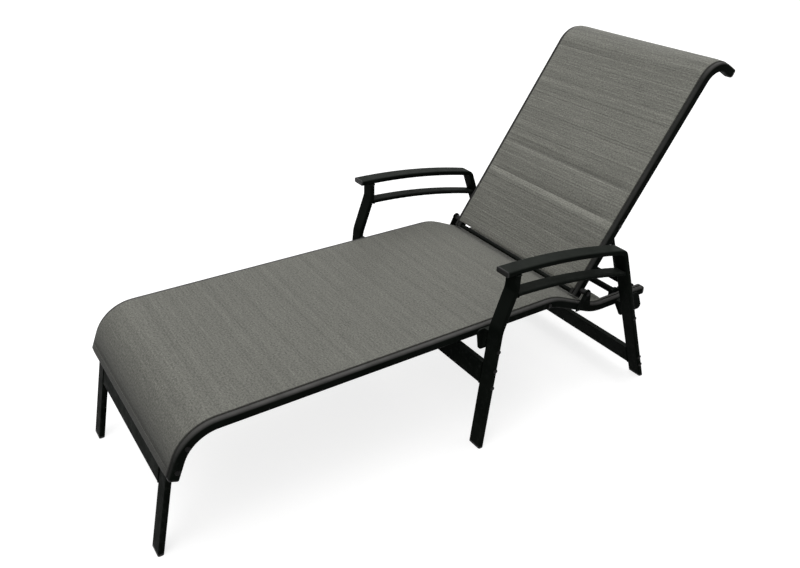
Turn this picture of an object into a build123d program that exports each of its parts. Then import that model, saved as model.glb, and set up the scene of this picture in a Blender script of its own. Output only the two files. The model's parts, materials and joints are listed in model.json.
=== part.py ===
from build123d import *
import os
from math import asin, atan2, cos, degrees, hypot, radians, sin, sqrt, tan

os.makedirs("parts", exist_ok=True)

# Adjustable sling chaise lounge. Lengths in millimetres, angles in degrees.
# +Z is up, the foot end is towards -Y, and the frame is the same on both sides of X = 0.
# A setback is a distance from the foot end towards the head end.

# Overall
half_length = 878.55
seat_top = 356.0
seat_half_width = 290.0
arm_half_width = 342.5

# Sling rail, the extrusion that holds the fabric edge in a round groove
rail_width = 28.0
rail_height = 26.0
rail_corner = 7.0
groove_depth = 6.5
groove_radius = 3.6
groove_mouth = 3.0
rail_core_width = 22.0
rail_core_height = 9.0
rail_core_drop = 6.5
rail_core_corner = 3.0

# Flat tube of the legs and arms
tube_width = 45.0
tube_thickness = 15.0
tube_corner = 4.5
tube_wall = 2.0

# Clearances
seat_gap = 0.3
overrun = 60.0

# Seat rail route
foot_curve_setback = 163.0
foot_curve_radius = 102.0
foot_curve_turn = 68.0
foot_tail = 44.0
dip_setback = 1141.0
dip_run = 165.0
dip_drop = 70.0
dip_radius = 150.0
rail_end_setback = 1508.0

# Back frame
pivot_setback = 1260.0
pivot_height = 339.0
back_angle = 55.8
back_half_width = 270.0
back_heel = 23.2
back_straight = 664.0
scroll_radius = 68.0
scroll_turn = 84.8
scroll_tail = 28.0

# Fabric
fabric_thickness = 2.4
pad_thickness = 5.0
hem_thickness = 4.4
hem_depth = 22.0
spline_radius = 3.3
spline_trim = 6.0
seat_sling_end_setback = 1345.0

# Legs
foot_leg_setback = 6.0
foot_leg_lean = 11.9
foot_leg_half_width = 242.0
foot_leg_top = 270.0
foot_bar_bottom = 173.0
foot_bar_height = 66.0
mid_leg_setback = 861.0
mid_leg_lean = 5.5
rear_leg_setback = 1502.0
rear_leg_lean = 20.4
glide_height = 6.0
glide_plug = 18.0

# Arms
arm_top = 531.0
arm_crest_setback = 900.0
arm_radius = 1930.5
arm_corner_radius = 22.0
arm_rail_drop = 66.5
arm_rail_width = 38.0
arm_rail_thickness = 12.0
arm_rail_corner = 4.0
arm_rail_wall = 1.6
post_setback = 936.0
post_knee_height = 361.0
post_shoulder_drop = 59.0
post_bend_radius = 90.0

# Stretchers and cross bars
mid_stretcher_height = 66.0
mid_stretcher_middle = 221.5
rear_stretcher_height = 66.0
rear_stretcher_middle = 66.0
stretcher_plug = 24.0
spreader_radius = 8.0
spreader_drop = 0.5
seat_spreader_setback = 560.0
rear_spreader_setback = 1118.0
rear_bar_radius = 9.5
rear_bar_setback = 1433.0

# Prop that holds the back up
prop_reach = 208.0
prop_radius = 6.35
prop_half_width = 248.0
prop_bar_half_length = 274.0
prop_foot_setback = 1455.0
prop_foot_height = 300.0

# Fasteners
bolt_radius = 3.0
bolt_head_radius = 6.0
bolt_head_height = 3.5
bolt_clearance = 0.3
hinge_bolt_radius = 4.0

sides = (("left", 1), ("right", -1))

seat_axis = seat_top - rail_height / 2
pivot = Vector(0, pivot_setback - half_length, pivot_height)
back_dir = Vector(0, cos(radians(back_angle)), sin(radians(back_angle)))
back_face = Vector(0, -back_dir.Z, back_dir.Y)


def spot(setback, height):
    """Point in a side view: distance from the middle of the length, and height."""
    return (setback - half_length, height)


def side_view(x=0.0):
    return Plane.YZ.offset(x)


def across(point, x=0.0):
    return Vector(x, point[0], point[1])


def start_plane(path):
    """Plane square to the start of a route, with its own y away from the fabric side."""
    return Plane(origin=path @ 0, x_dir=(1, 0, 0), z_dir=path % 0)


def cross_location(x, y, z, side=1):
    """Location whose own z points sideways, away from the middle on the side asked for."""
    return Location((x, y, z), (0, 90 * side, 0))


# Routes

foot_corner_setback = foot_curve_setback - foot_curve_radius * tan(radians(foot_curve_turn) / 2)
foot_end_reach = foot_curve_radius * tan(radians(foot_curve_turn) / 2) + foot_tail
foot_end = spot(
    foot_corner_setback - foot_end_reach * cos(radians(foot_curve_turn)),
    seat_axis - foot_end_reach * sin(radians(foot_curve_turn)),
)
foot_corner = spot(foot_corner_setback, seat_axis)
dip_start = spot(dip_setback, seat_axis)
dip_end = spot(dip_setback + dip_run, seat_axis - dip_drop)
rail_end = spot(rail_end_setback, seat_axis - dip_drop)


def seat_route(x, last, trim=0.0):
    """Middle line of the seat rail, from a trimmed foot end to a last point on the tail."""
    first = (
        foot_end[0] + trim * cos(radians(foot_curve_turn)),
        foot_end[1] + trim * sin(radians(foot_curve_turn)),
    )
    with BuildLine(side_view(x)) as route:
        FilletPolyline(
            first, foot_corner, dip_start, dip_end, last,
            radius=[foot_curve_radius, dip_radius, dip_radius],
        )
    return route.wire()


def back_point(reach, rise=0.0):
    """Point on the back frame: reach up from the pivot, rise towards the fabric side."""
    place = pivot + back_dir * reach + back_face * rise
    return (place.Y, place.Z)


def back_route(x, heel):
    with BuildLine(side_view(x)) as route:
        stem = Line(back_point(-heel), back_point(back_straight))
        curl = JernArc(
            start=back_point(back_straight), tangent=(back_dir.Y, back_dir.Z),
            radius=scroll_radius, arc_size=-scroll_turn,
        )
        tail_angle = radians(back_angle - scroll_turn)
        curl_end = scroll_end()
        Line(
            curl_end,
            (curl_end[0] + scroll_tail * cos(tail_angle), curl_end[1] + scroll_tail * sin(tail_angle)),
        )
    return route.wire()


def scroll_end(along=0.0, rise=0.0):
    """Point on the straight tail beyond the scroll, rise away from the scroll's middle."""
    centre = pivot + back_dir * back_straight - back_face * scroll_radius
    tail_angle = radians(back_angle - scroll_turn)
    reach = scroll_radius + rise
    return (
        centre.Y - reach * sin(tail_angle) + along * cos(tail_angle),
        centre.Z + reach * cos(tail_angle) + along * sin(tail_angle),
    )


def rail_profile():
    """Extrusion section: rounded box with a round groove, a mouth and a hollow core."""
    RectangleRounded(rail_width, rail_height, rail_corner)
    with Locations((0, groove_depth - rail_height / 2)):
        Circle(groove_radius, mode=Mode.SUBTRACT)
    with Locations((0, -rail_height / 2)):
        Rectangle(
            groove_mouth, groove_depth, align=(Align.CENTER, Align.MIN), mode=Mode.SUBTRACT
        )
    with Locations((0, rail_core_drop)):
        RectangleRounded(
            rail_core_width, rail_core_height, rail_core_corner, mode=Mode.SUBTRACT
        )


def tube_profile(width, thickness, corner, wall):
    RectangleRounded(width, thickness, corner)
    RectangleRounded(
        width - 2 * wall, thickness - 2 * wall, corner - wall, mode=Mode.SUBTRACT
    )


def cross_holes(spots, radius, depth):
    """Round holes along X through the part that is being built."""
    with Locations(*[cross_location(*place) for place in spots]):
        Cylinder(radius, depth, mode=Mode.SUBTRACT)


def cross_ring(place, x, length, radius, bore):
    """Ring or nut round an axis that runs along X."""
    with BuildPart() as ring:
        with BuildSketch(side_view(x)):
            with Locations(place):
                Circle(radius)
                Circle(bore, mode=Mode.SUBTRACT)
        extrude(amount=length)
    return ring.part


def save(built, name):
    built.part.label = name
    export_step(built.part, "parts/" + name + ".step")


# Where cross bars meet the rails

foot_spreader_turn = 47.0
foot_spreader_reach = foot_curve_radius - spreader_drop
foot_spreader = spot(
    foot_curve_setback - foot_spreader_reach * sin(radians(foot_spreader_turn)),
    seat_axis - foot_curve_radius + foot_spreader_reach * cos(radians(foot_spreader_turn)),
)
seat_spreader = spot(seat_spreader_setback, seat_axis - spreader_drop)
rear_spreader = spot(rear_spreader_setback, seat_axis - spreader_drop)
rear_bar = spot(rear_bar_setback, seat_axis - dip_drop - spreader_drop)
foot_bar_lean = tan(radians(foot_leg_lean))
foot_bolt_rise = 19.0
foot_bolt_height = foot_end[1] + foot_bolt_rise
foot_bolt = (
    foot_leg_setback - half_length + foot_bar_lean * foot_bolt_height, foot_bolt_height
)
rail_inside = seat_half_width - rail_width / 2
rail_outside = seat_half_width + rail_width / 2
back_inside = back_half_width - rail_width / 2
back_outside = back_half_width + rail_width / 2
arm_inside = arm_half_width - tube_width / 2
arm_outside = arm_half_width + tube_width / 2

foot_leg_outside = foot_leg_half_width + tube_width / 2

rail_bolt_spots = (foot_bolt, foot_spreader, rear_spreader, rear_bar)

# Seat rails, their end caps and the cords that lock the fabric into them

cap_flange = 4.0
cap_plug = 16.0

for side, sign in sides:
    x = sign * seat_half_width
    route = seat_route(x, rail_end)
    with BuildPart() as seat_rail:
        with BuildSketch(start_plane(route)):
            rail_profile()
        sweep(path=route)
        cross_holes(
            [(x, y, z) for y, z in rail_bolt_spots], bolt_radius + bolt_clearance,
            rail_width + overrun,
        )
    save(seat_rail, "seat_rail_" + side)

    fabric_end = spot(seat_sling_end_setback, seat_axis - dip_drop)
    fabric_route = seat_route(x, fabric_end, spline_trim)
    with BuildPart() as seat_spline:
        with BuildSketch(start_plane(fabric_route)):
            with Locations((0, groove_depth - rail_height / 2)):
                Circle(spline_radius)
        sweep(path=fabric_route)
    save(seat_spline, "seat_spline_" + side)

    foot_face = start_plane(route)
    with BuildPart() as foot_cap:
        with BuildSketch(foot_face):
            RectangleRounded(rail_width, rail_height, rail_corner)
        extrude(amount=-cap_flange)
        fillet(foot_cap.faces().sort_by(Axis(foot_face.origin, foot_face.z_dir))[0].edges(), cap_flange / 2)
        with BuildSketch(foot_face):
            with Locations((0, rail_core_drop)):
                RectangleRounded(
                    rail_core_width - 2 * seat_gap, rail_core_height - 2 * seat_gap,
                    rail_core_corner - seat_gap,
                )
        extrude(amount=cap_plug)
    save(foot_cap, "rail_foot_cap_" + side)

    tail_face = Plane(origin=across(rail_end, x), x_dir=(1, 0, 0), z_dir=(0, 1, 0))
    with BuildPart() as tail_cap:
        with BuildSketch(tail_face):
            RectangleRounded(rail_width, rail_height, rail_corner)
        extrude(amount=2 * cap_flange)
        fillet(tail_cap.faces().sort_by(Axis.Y)[-1].edges(), cap_flange)
        with BuildSketch(tail_face):
            with Locations((0, rail_core_drop)):
                RectangleRounded(
                    rail_core_width - 2 * seat_gap, rail_core_height - 2 * seat_gap,
                    rail_core_corner - seat_gap,
                )
        extrude(amount=-cap_plug)
    save(tail_cap, "rail_tail_cap_" + side)

# Seat sling: one sheet over both rails, with a hem at each end

sling_seat = rail_height / 2 + seat_gap
tongue_width = groove_mouth - 2 * seat_gap
tongue_depth = groove_depth - spline_radius - 2 * seat_gap


def sling_profile(half_width, thickness):
    """Cross section of a sling: the sheet, and the tongues that go down into the grooves."""
    with Locations((0, -sling_seat)):
        Rectangle(
            2 * half_width + tongue_width, thickness, align=(Align.CENTER, Align.MAX)
        )
    with Locations((-half_width, -sling_seat), (half_width, -sling_seat)):
        Rectangle(tongue_width, tongue_depth + seat_gap, align=(Align.CENTER, Align.MIN))


def hem_profile(half_width):
    with Locations((0, -sling_seat)):
        Rectangle(2 * half_width - groove_mouth, hem_thickness, align=(Align.CENTER, Align.MAX))


seat_fabric_route = seat_route(0.0, spot(seat_sling_end_setback, seat_axis - dip_drop))
with BuildPart() as seat_sling:
    with BuildSketch(start_plane(seat_fabric_route)):
        sling_profile(seat_half_width, fabric_thickness)
    sweep(path=seat_fabric_route)
    with BuildSketch(start_plane(seat_fabric_route)):
        hem_profile(seat_half_width)
    extrude(amount=hem_depth)
    tail_hem = Plane(
        origin=across(spot(seat_sling_end_setback, seat_axis - dip_drop)),
        x_dir=(1, 0, 0), z_dir=(0, 1, 0),
    )
    hem_run = seat_sling_end_setback - dip_setback - dip_run - dip_radius * tan(
        atan2(dip_drop, dip_run) / 2
    )
    with BuildSketch(tail_hem):
        hem_profile(seat_half_width)
    extrude(amount=-hem_run)
save(seat_sling, "seat_sling")

# Spreader bars between the seat rails, with tapped ends

tapped_depth = 22.0
rail_bolt_length = rail_width + tapped_depth / 2


def tapped_bar(place, radius, half_length_across, holes=True):
    with BuildPart() as bar:
        with BuildSketch(side_view(-half_length_across)):
            with Locations(place):
                Circle(radius)
        extrude(amount=2 * half_length_across)
        if holes:
            for sign in (1, -1):
                with BuildSketch(side_view(sign * half_length_across)):
                    with Locations(place):
                        Circle(bolt_radius + bolt_clearance)
                extrude(amount=-sign * tapped_depth, mode=Mode.SUBTRACT)
    return bar


save(tapped_bar(foot_spreader, spreader_radius, rail_inside), "foot_spreader_bar")
save(tapped_bar(rear_spreader, spreader_radius, rail_inside), "rear_spreader_bar")
save(tapped_bar(rear_bar, rear_bar_radius, rail_inside), "rear_cross_bar")

cup_wall = 2.0
cup_depth = 14.0
save(
    tapped_bar(seat_spreader, spreader_radius, rail_inside - cup_wall - seat_gap, False),
    "seat_spreader_bar",
)
with BuildPart() as spreader_cups:
    for side, sign in sides:
        with BuildSketch(side_view(sign * rail_inside)):
            with Locations(seat_spreader):
                Circle(spreader_radius + seat_gap + cup_wall)
        extrude(amount=-sign * cup_depth)
        with BuildSketch(side_view(sign * (rail_inside - cup_wall))):
            with Locations(seat_spreader):
                Circle(spreader_radius + seat_gap)
        extrude(amount=-sign * cup_depth, mode=Mode.SUBTRACT)
save(spreader_cups, "spreader_cups")

# Foot leg frame: two leaning legs with a tall cross bar welded between them

foot_dir = Vector(0, sin(radians(foot_leg_lean)), cos(radians(foot_leg_lean)))
foot_bar_half = foot_leg_half_width - tube_width / 2 - seat_gap


def foot_axis(height):
    return (foot_leg_setback - half_length + foot_bar_lean * height, height)


def leaning_plane(point, x, direction):
    return Plane(origin=across(point, x), x_dir=(1, 0, 0), z_dir=direction)


with BuildPart() as foot_cross_bar:
    bar_top = foot_bar_bottom + foot_bar_height
    with BuildSketch(side_view(-foot_bar_half)):
        with BuildLine():
            half = tube_thickness / 2 / cos(radians(foot_leg_lean))
            low, high = foot_axis(foot_bar_bottom), foot_axis(bar_top)
            Polyline(
                (low[0] - half, low[1]), (low[0] + half, low[1]),
                (high[0] + half, high[1]), (high[0] - half, high[1]), close=True,
            )
        make_face()
    extrude(amount=2 * foot_bar_half)
    fillet(foot_cross_bar.edges().filter_by(Axis.X), tube_corner / 2)
    with BuildSketch(side_view(-foot_bar_half)):
        with BuildLine():
            half = (tube_thickness / 2 - tube_wall) / cos(radians(foot_leg_lean))
            low, high = foot_axis(foot_bar_bottom + tube_wall), foot_axis(bar_top - tube_wall)
            Polyline(
                (low[0] - half, low[1]), (low[0] + half, low[1]),
                (high[0] + half, high[1]), (high[0] - half, high[1]), close=True,
            )
        make_face()
    extrude(amount=2 * foot_bar_half, mode=Mode.SUBTRACT)
save(foot_cross_bar, "foot_cross_bar")


def leg_tube(base, top, direction, x, low, high):
    """Straight flat tube from one height to another, both ends cut level."""
    start = (
        base[0] - direction.Y * overrun, base[1] - direction.Z * overrun
    )
    with BuildPart() as leg:
        with BuildSketch(leaning_plane(start, x, direction)):
            tube_profile(tube_width, tube_thickness, tube_corner, tube_wall)
        extrude(amount=hypot(top[0] - start[0], top[1] - start[1]) + overrun)
        split(bisect_by=Plane.XY.offset(low), keep=Keep.TOP)
        split(bisect_by=Plane.XY.offset(high), keep=Keep.BOTTOM)
    return leg


def tube_plug(base, direction, x, low, high):
    """Block that fills a leg's hollow between two heights."""
    start = (base[0] - direction.Y * overrun, base[1] - direction.Z * overrun)
    plug_wall = tube_wall + seat_gap
    with BuildPart() as plug:
        with BuildSketch(leaning_plane(start, x, direction)):
            RectangleRounded(
                tube_width - 2 * plug_wall, tube_thickness - 2 * plug_wall,
                tube_corner - plug_wall,
            )
        extrude(amount=high / direction.Z + 2 * overrun)
        split(bisect_by=Plane.XY.offset(low), keep=Keep.TOP)
        split(bisect_by=Plane.XY.offset(high), keep=Keep.BOTTOM)
    return plug.part


def glide(base, direction, x):
    """Foot glide: a cap of the tube's outline with a plug up inside the tube."""
    start = (base[0] - direction.Y * overrun, base[1] - direction.Z * overrun)
    with BuildPart() as shoe:
        with BuildSketch(leaning_plane(start, x, direction)):
            RectangleRounded(tube_width, tube_thickness, tube_corner)
        extrude(amount=2 * overrun)
        split(bisect_by=Plane.XY, keep=Keep.TOP)
        split(bisect_by=Plane.XY.offset(glide_height), keep=Keep.BOTTOM)
    plug = tube_plug(base, direction, x, glide_height / 2, glide_height + glide_plug)
    with BuildPart() as whole:
        add(shoe.part)
        add(plug)
    return whole.part


def group(solids):
    """Equal pieces on both sides that are kept together as separate solids."""
    with BuildPart() as together:
        for solid in solids:
            add(solid)
    return together


foot_plug_reach = 15.0
foot_leg_plugs = []

for side, sign in sides:
    x = sign * foot_leg_half_width
    bolt_entry = [(sign * foot_leg_outside, *foot_bolt)]
    leg = leg_tube(foot_axis(0.0), foot_axis(foot_leg_top), foot_dir, x, glide_height, foot_leg_top)
    with BuildPart() as foot_leg:
        add(leg.part)
        cross_holes(bolt_entry, bolt_radius + bolt_clearance, 2 * tapped_depth)
    save(foot_leg, "foot_leg_" + side)

    plug = tube_plug(
        foot_axis(0.0), foot_dir, x, foot_bolt_height - foot_plug_reach, foot_leg_top
    )
    with BuildPart() as top_plug:
        add(plug)
        cross_holes(bolt_entry, bolt_radius + bolt_clearance, 2 * tapped_depth)
    spacer = cross_ring(
        foot_bolt, sign * (foot_leg_outside + seat_gap),
        sign * (rail_inside - foot_leg_outside - 2 * seat_gap), spreader_radius,
        bolt_radius + bolt_clearance,
    )
    foot_leg_plugs += [top_plug.part, spacer]

save(group(foot_leg_plugs), "foot_leg_plugs")

foot_leg_glides = group([
    glide(foot_axis(0.0), foot_dir, sign * foot_leg_half_width) for side, sign in sides
])
save(foot_leg_glides, "foot_leg_glides")

# Arm frames. The front post and middle leg are one bent tube, the armrest and rear leg another

arm_centre = spot(arm_crest_setback, arm_top - tube_thickness / 2 - arm_radius)
rear_dir = Vector(0, -sin(radians(rear_leg_lean)), cos(radians(rear_leg_lean)))
rear_base = spot(rear_leg_setback, 0.0)
mid_dir = Vector(0, sin(radians(mid_leg_lean)), cos(radians(mid_leg_lean)))
mid_base = spot(mid_leg_setback, 0.0)


def rear_axis(height):
    return (rear_base[0] - tan(radians(rear_leg_lean)) * height, height)


def mid_axis(height):
    return (mid_base[0] + tan(radians(mid_leg_lean)) * height, height)


def arm_height(y, radius):
    """Height of a circle about the armrest's centre, at a distance from the middle."""
    return arm_centre[1] + sqrt(radius**2 - (y - arm_centre[0]) ** 2)


def reach_to_arm():
    """Length of the rear leg's axis from the floor to the armrest's axis."""
    dy, dz = rear_base[0] - arm_centre[0], rear_base[1] - arm_centre[1]
    along = dy * rear_dir.Y + dz * rear_dir.Z
    return -along + sqrt(along**2 - dy**2 - dz**2 + arm_radius**2)


leg_reach = reach_to_arm()
arm_meet = (rear_base[0] + rear_dir.Y * leg_reach, rear_dir.Z * leg_reach)
arm_meet_angle = asin((arm_meet[0] - arm_centre[0]) / arm_radius)
leg_turn = 90.0 - rear_leg_lean - degrees(arm_meet_angle)
corner_reach = arm_corner_radius * tan(radians(leg_turn) / 2)
arm_sweep = degrees(arm_meet_angle) - degrees(corner_reach / arm_radius)

post_top = arm_height(post_setback - half_length, arm_radius - tube_thickness / 2) - seat_gap
post_knee = mid_axis(post_knee_height)
post_shoulder = spot(post_setback, arm_top - post_shoulder_drop)

# Bolts that go in from the legs' outer faces, to the stretchers and to the brackets' bosses
stretcher_bolt_reach = 26.5
rear_bolt_reach = 15.5
mid_boss_drop = 38.0
rear_boss_drop = 35.0
mid_boss_bolt = seat_axis - mid_boss_drop
rear_boss_bolt = seat_axis - dip_drop - rear_boss_drop
mid_stretcher_bolts = [
    mid_axis(mid_stretcher_middle + reach) for reach in (-stretcher_bolt_reach, stretcher_bolt_reach)
]
rear_stretcher_bolts = [
    rear_axis(rear_stretcher_middle + reach) for reach in (-rear_bolt_reach, rear_bolt_reach)
]
mid_leg_bolts = mid_stretcher_bolts + [mid_axis(mid_boss_bolt)]
rear_leg_bolts = rear_stretcher_bolts + [rear_axis(rear_boss_bolt)]


def leg_holes(spots, x):
    cross_holes([(x, *place) for place in spots], bolt_radius + bolt_clearance, tube_width + overrun)


def arm_route(x):
    base = (rear_base[0] - rear_dir.Y * overrun, -rear_dir.Z * overrun)
    bend = (
        rear_base[0] + rear_dir.Y * (leg_reach - corner_reach),
        rear_dir.Z * (leg_reach - corner_reach),
    )
    with BuildLine(side_view(x)) as route:
        Line(base, bend)
        corner = JernArc(
            start=bend, tangent=(rear_dir.Y, rear_dir.Z), radius=arm_corner_radius,
            arc_size=leg_turn,
        )
        turn = radians(90.0 + rear_leg_lean + leg_turn)
        finish = (
            bend[0] + corner_reach * rear_dir.Y + corner_reach * cos(turn),
            bend[1] + corner_reach * rear_dir.Z + corner_reach * sin(turn),
        )
        JernArc(
            start=finish, tangent=(cos(turn), sin(turn)), radius=arm_radius, arc_size=arm_sweep
        )
    return route.wire()


for side, sign in sides:
    x = sign * arm_half_width
    route = arm_route(x)
    with BuildPart() as armrest:
        with BuildSketch(start_plane(route)):
            tube_profile(tube_width, tube_thickness, tube_corner, tube_wall)
        sweep(path=route)
        split(bisect_by=Plane.XY.offset(glide_height), keep=Keep.TOP)
        leg_holes(rear_leg_bolts, x)
    save(armrest, "armrest_and_rear_leg_" + side)

    with BuildLine(side_view(x)) as post_line:
        FilletPolyline(
            mid_axis(-overrun), post_knee, post_shoulder, spot(post_setback, post_top),
            radius=[post_bend_radius, post_bend_radius / 2],
        )
    post_route = post_line.wire()
    with BuildPart() as front_post:
        with BuildSketch(start_plane(post_route)):
            tube_profile(tube_width, tube_thickness, tube_corner, tube_wall)
        sweep(path=post_route)
        split(bisect_by=Plane.XY.offset(glide_height), keep=Keep.TOP)
        leg_holes(mid_leg_bolts, x)
    save(front_post, "front_post_and_leg_" + side)

    # Lower arm rail, concentric with the armrest, from the post to the rear leg
    rail_radius = arm_radius - arm_rail_drop
    rail_front = post_setback - half_length + tube_thickness / 2 + seat_gap
    front_height = arm_height(rail_front, rail_radius)
    start_angle = asin((rail_front - overrun - arm_centre[0]) / rail_radius)
    finish_angle = asin((arm_meet[0] + overrun - arm_centre[0]) / rail_radius)
    with BuildLine(side_view(x)) as lower_line:
        JernArc(
            start=(
                arm_centre[0] + rail_radius * sin(start_angle),
                arm_centre[1] + rail_radius * cos(start_angle),
            ),
            tangent=(cos(start_angle), -sin(start_angle)), radius=rail_radius,
            arc_size=-degrees(finish_angle - start_angle),
        )
    lower_route = lower_line.wire()
    leg_face = Plane(
        origin=across(rear_base, x) - Vector(0, rear_dir.Z, -rear_dir.Y) * (
            tube_thickness / 2 + seat_gap
        ),
        x_dir=(1, 0, 0), z_dir=(0, rear_dir.Z, -rear_dir.Y),
    )
    with BuildPart() as arm_rail:
        with BuildSketch(start_plane(lower_route)):
            tube_profile(arm_rail_width, arm_rail_thickness, arm_rail_corner, arm_rail_wall)
        sweep(path=lower_route)
        split(bisect_by=Plane.XZ.offset(-rail_front), keep=Keep.BOTTOM)
        split(bisect_by=leg_face, keep=Keep.BOTTOM)
    save(arm_rail, "arm_lower_rail_" + side)

    # Plug that closes the front tip of the armrest
    tip_face = Plane(origin=route @ 1, x_dir=(1, 0, 0), z_dir=route % 1)
    with BuildPart() as arm_cap:
        with BuildSketch(tip_face):
            RectangleRounded(tube_width, tube_thickness, tube_corner)
        extrude(amount=cap_flange)
        fillet(arm_cap.faces().sort_by(Axis.Y)[0].edges(), cap_flange / 2)
        with BuildSketch(tip_face):
            RectangleRounded(
                tube_width - 2 * (tube_wall + seat_gap),
                tube_thickness - 2 * (tube_wall + seat_gap), tube_corner - tube_wall - seat_gap,
            )
        extrude(amount=-cap_plug)
    save(arm_cap, "armrest_cap_" + side)

mid_leg_glides = group([
    glide(mid_base, mid_dir, sign * arm_half_width) for side, sign in sides
])
save(mid_leg_glides, "middle_leg_glides")

rear_leg_glides = group([
    glide(rear_base, rear_dir, sign * arm_half_width) for side, sign in sides
])
save(rear_leg_glides, "rear_leg_glides")

# Stretchers between the two arm frames

stretcher_half = arm_inside - seat_gap


def stretcher(middle, height, direction):
    with BuildPart() as bar:
        with BuildSketch(leaning_plane(middle, 0.0, direction)):
            Rectangle(2 * stretcher_half, tube_thickness)
        extrude(amount=height / 2, both=True)
        fillet(bar.edges().filter_by(Axis.X), tube_corner / 2)
        with BuildSketch(leaning_plane(middle, 0.0, direction)):
            Rectangle(2 * stretcher_half, tube_thickness - 2 * tube_wall)
        extrude(amount=height / 2 - tube_wall, both=True, mode=Mode.SUBTRACT)
    return bar


save(stretcher(mid_axis(mid_stretcher_middle), mid_stretcher_height, mid_dir), "middle_stretcher")
save(
    stretcher(rear_axis(rear_stretcher_middle), rear_stretcher_height, rear_dir), "rear_stretcher"
)



def end_plug(middle, height, direction, sign, spots):
    """Block in one end of a stretcher, which the leg's bolts go into."""
    with BuildPart() as block:
        end_place = leaning_plane(middle, sign * (stretcher_half - stretcher_plug / 2), direction)
        with BuildSketch(end_place):
            Rectangle(stretcher_plug, tube_thickness - 2 * (tube_wall + seat_gap))
        extrude(amount=height / 2 - tube_wall - seat_gap, both=True)
        cross_holes(
            [(sign * stretcher_half, *place) for place in spots], bolt_radius + bolt_clearance,
            2 * tapped_depth,
        )
    return block.part


plugs = []
for side, sign in sides:
    plugs.append(end_plug(
        mid_axis(mid_stretcher_middle), mid_stretcher_height, mid_dir, sign, mid_stretcher_bolts
    ))
    plugs.append(end_plug(
        rear_axis(rear_stretcher_middle), rear_stretcher_height, rear_dir, sign,
        rear_stretcher_bolts,
    ))
save(group(plugs), "stretcher_plugs")

# Brackets between the seat rails and the arm frames: a plate on the rail and a boss to the leg

bracket_plate = 4.0
bracket_corner = 12.0
bracket_taper = 9.0
bracket_hang = 43.0
mid_bracket_front = 32.0
mid_bracket_back = 26.0
rear_bracket_front = 16.0
rear_bracket_front_taper = 36.0
rear_bracket_back = 87.0
rear_bracket_flare = 27.0
bracket_rise = rail_height / 2 - rail_corner
boss_half_length = tube_thickness / 2


def bracket(axis, level, front, front_taper, back, back_taper, bolt_place, sign):
    """Plate with tapered ends that hangs from the rail, and a boss that follows the leg."""
    top = axis(level + bracket_rise)
    foot = axis(level - rail_height / 2 - bracket_hang)
    with BuildPart() as plate:
        with BuildSketch(side_view(sign * rail_outside)):
            with BuildLine():
                Polyline(
                    (top[0] - front, top[1]), (top[0] + back, top[1]),
                    (top[0] + back - back_taper, foot[1]),
                    (top[0] - front + front_taper, foot[1]), close=True,
                )
            face = make_face()
            fillet(face.vertices().group_by(Axis.Z)[0], bracket_corner)
        extrude(amount=sign * bracket_plate)
        with BuildSketch(side_view(sign * (rail_outside + bracket_plate))):
            with BuildLine():
                Polyline(
                    (top[0] - boss_half_length, top[1]), (top[0] + boss_half_length, top[1]),
                    (foot[0] + boss_half_length, foot[1] + bracket_corner),
                    (foot[0] - boss_half_length, foot[1] + bracket_corner), close=True,
                )
            make_face()
        extrude(amount=sign * (arm_inside - rail_outside - bracket_plate - seat_gap))
        cross_holes(
            [(sign * rail_outside, *rear_bar)], bolt_radius + bolt_clearance, 2 * bracket_plate
        )
        cross_holes(
            [(sign * arm_inside, *bolt_place)], bolt_radius + bolt_clearance,
            2 * (arm_inside - rail_outside),
        )
    return plate


for side, sign in sides:
    mid_bracket = bracket(
        mid_axis, seat_axis, mid_bracket_front, bracket_taper, mid_bracket_back, bracket_taper,
        mid_leg_bolts[-1], sign,
    )
    save(mid_bracket, "middle_bracket_" + side)
    rear_bracket = bracket(
        rear_axis, seat_axis - dip_drop, rear_bracket_front, rear_bracket_front_taper,
        rear_bracket_back, -rear_bracket_flare, rear_leg_bolts[-1], sign,
    )
    save(rear_bracket, "rear_bracket_" + side)

# Hinge between the seat and the back: plates on the rails, bushes, bolts and nuts

hinge_plate_thickness = 4.0
hinge_plate_half = 12.5
hinge_plate_foot_front = 36.0
hinge_plate_foot_back = 18.0
hinge_plate_foot_drop = 48.0
hinge_bush_radius = 8.0
hinge_nut_radius = 6.0
hinge_nut_height = 4.5
hinge_head_radius = 6.5
hinge_head_height = 4.0

pivot_spot = (pivot.Y, pivot.Z)
plate_outside = rail_outside + hinge_plate_thickness

for side, sign in sides:
    with BuildPart() as hinge_plate:
        with BuildSketch(side_view(sign * rail_outside)):
            with BuildLine():
                Polyline(
                    (pivot.Y - hinge_plate_foot_front, pivot.Z - hinge_plate_foot_drop),
                    (pivot.Y + hinge_plate_foot_back, pivot.Z - hinge_plate_foot_drop),
                    (pivot.Y + hinge_plate_half, pivot.Z),
                    (pivot.Y - hinge_plate_half, pivot.Z), close=True,
                )
            make_face()
            with Locations(pivot_spot):
                Circle(hinge_plate_half)
                Circle(hinge_bolt_radius + bolt_clearance, mode=Mode.SUBTRACT)
        extrude(amount=sign * hinge_plate_thickness)
    save(hinge_plate, "hinge_plate_" + side)

bush_length = rail_outside - back_outside - 2 * seat_gap
bolt_end = back_inside - seat_gap - hinge_nut_height


def dome_bolt(head_radius, head_height, radius, length):
    with BuildPart() as bolt:
        Cylinder(head_radius, head_height, align=(Align.CENTER, Align.CENTER, Align.MIN))
        fillet(bolt.faces().sort_by(Axis.Z)[-1].edges(), head_height / 2)
        Cylinder(radius, length, align=(Align.CENTER, Align.CENTER, Align.MAX))
    return bolt.part


hinge_bushes = group([
    cross_ring(
        pivot_spot, sign * (back_outside + seat_gap), sign * bush_length, hinge_bush_radius,
        hinge_bolt_radius + bolt_clearance,
    )
    for side, sign in sides
])
save(hinge_bushes, "hinge_bushes")

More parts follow.
